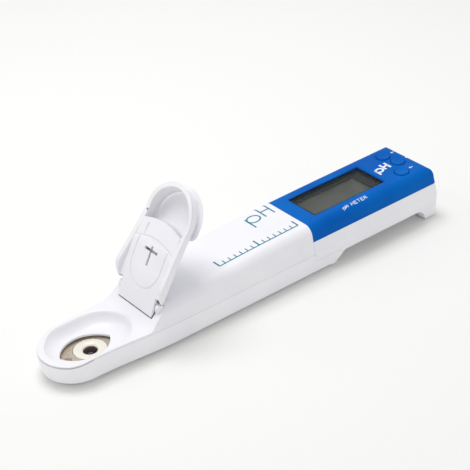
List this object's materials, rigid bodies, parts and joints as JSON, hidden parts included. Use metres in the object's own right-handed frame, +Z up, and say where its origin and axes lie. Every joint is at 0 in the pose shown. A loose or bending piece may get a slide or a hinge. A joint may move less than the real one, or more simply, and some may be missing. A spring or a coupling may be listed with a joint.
{
  "type": "digital pH meter",
  "caption": "Pocket pH meter with a flat sensor in a tray, a hinged light-shield cover standing open, and a blue panel with a display window.",
  "frame": {"origin": "on the table, under the middle of the meter's length and width", "axes": "+X from the sensor tip to the rear end, +Y across to the meter's left as read from the tip, +Z up"},
  "size_m": [0.164, 0.029, 0.0496],
  "materials": {
    "white_abs": "satin moulded",
    "blue_abs": "satin moulded",
    "cream_resin": "smooth",
    "sensor_glass": "polished",
    "porous_junction": "porous",
    "natural_plastic": "as moulded",
    "electrolyte_gel": "wet gel",
    "polyester_film": "smooth film",
    "gold_contacts": "gold plated",
    "brass_spring": "rolled sheet",
    "stainless_steel": "satin",
    "black_rubber": "matte",
    "black_plastic": "satin",
    "clear_acrylic": "polished clear",
    "lcd_glass": "grey liquid crystal glass",
    "green_board": "solder mask"
  },
  "bodies": {
    "meter": {"lower_case": "white_abs", "front_panel": "blue_abs", "case_gasket": "black_rubber", "window_lens": "clear_acrylic", "lcd_bezel": "black_plastic", "lcd_panel": "lcd_glass", "contact_rubber_left": "black_rubber", "contact_rubber_right": "black_rubber", "main_board": "green_board", "processor_chip": "black_plastic", "switch_dome_left": "stainless_steel", "switch_dome_middle": "stainless_steel", "switch_dome_right": "stainless_steel", "contact_springs": "gold_contacts", "battery_contact_front": "brass_spring", "battery_contact_rear": "brass_spring", "coin_cell_front": "stainless_steel", "coin_cell_rear": "stainless_steel", "case_screw_front_left": "stainless_steel", "case_screw_front_right": "stainless_steel", "case_screw_rear_left": "stainless_steel", "case_screw_rear_right": "stainless_steel"},
    "cartridge": {"cartridge_upper_shell": "white_abs", "cartridge_lower_shell": "white_abs", "sensor_holder": "cream_resin", "sensor_ring": "cream_resin", "glass_electrode": "sensor_glass", "reference_junction": "porous_junction", "reference_vessel": "natural_plastic", "reference_gel": "electrolyte_gel", "sensor_film": "polyester_film", "thermistor": "black_plastic", "sensor_plug": "black_plastic", "contact_strip": "gold_contacts", "plug_gasket": "black_rubber", "hinge_pin": "stainless_steel"},
    "release_tab": {"release_tab": "white_abs"},
    "cover": {"cover_shell": "white_abs", "cover_inner_plate": "white_abs", "cover_tongue": "white_abs"},
    "slide_cap": {"slide_cap": "white_abs"},
    "battery_cover": {"battery_cover": "white_abs", "battery_bridge": "brass_spring"},
    "button_left": {"button_left": "blue_abs"},
    "button_middle": {"button_middle": "blue_abs"},
    "button_right": {"button_right": "blue_abs"}
  },
  "joints": [
    {"name": "cartridge_slide", "type": "slide", "parent": "meter", "child": "cartridge", "axis": [-1, 0, 0], "range_m": [0, 0.03]},
    {"name": "release_tab_hinge", "type": "hinge", "parent": "cartridge", "child": "release_tab", "pos_m": [0.016, 0, 0.0006], "axis": [0, -1, 0], "range_deg": [0, 12], "stiffness_Nm_per_rad": 0.02},
    {"name": "cover_hinge", "type": "hinge", "parent": "cartridge", "child": "cover", "pos_m": [-0.0422, 0, 0.0153], "axis": [0, 1, 0], "range_deg": [-130, 0]},
    {"name": "slide_cap_slide", "type": "slide", "parent": "cover", "child": "slide_cap", "axis": [-0.5957, 0, -0.8032], "range_m": [0, 0.006]},
    {"name": "battery_cover_slide", "type": "slide", "parent": "meter", "child": "battery_cover", "axis": [1, 0, 0], "range_m": [0, 0.035]},
    {"name": "button_left_press", "type": "slide", "parent": "meter", "child": "button_left", "axis": [0, 0, -1], "range_m": [0, 0.0004], "stiffness_N_per_m": 500},
    {"name": "button_middle_press", "type": "slide", "parent": "meter", "child": "button_middle", "axis": [0, 0, -1], "range_m": [0, 0.0004], "stiffness_N_per_m": 500},
    {"name": "button_right_press", "type": "slide", "parent": "meter", "child": "button_right", "axis": [0, 0, -1], "range_m": [0, 0.0004], "stiffness_N_per_m": 500}
  ]
}
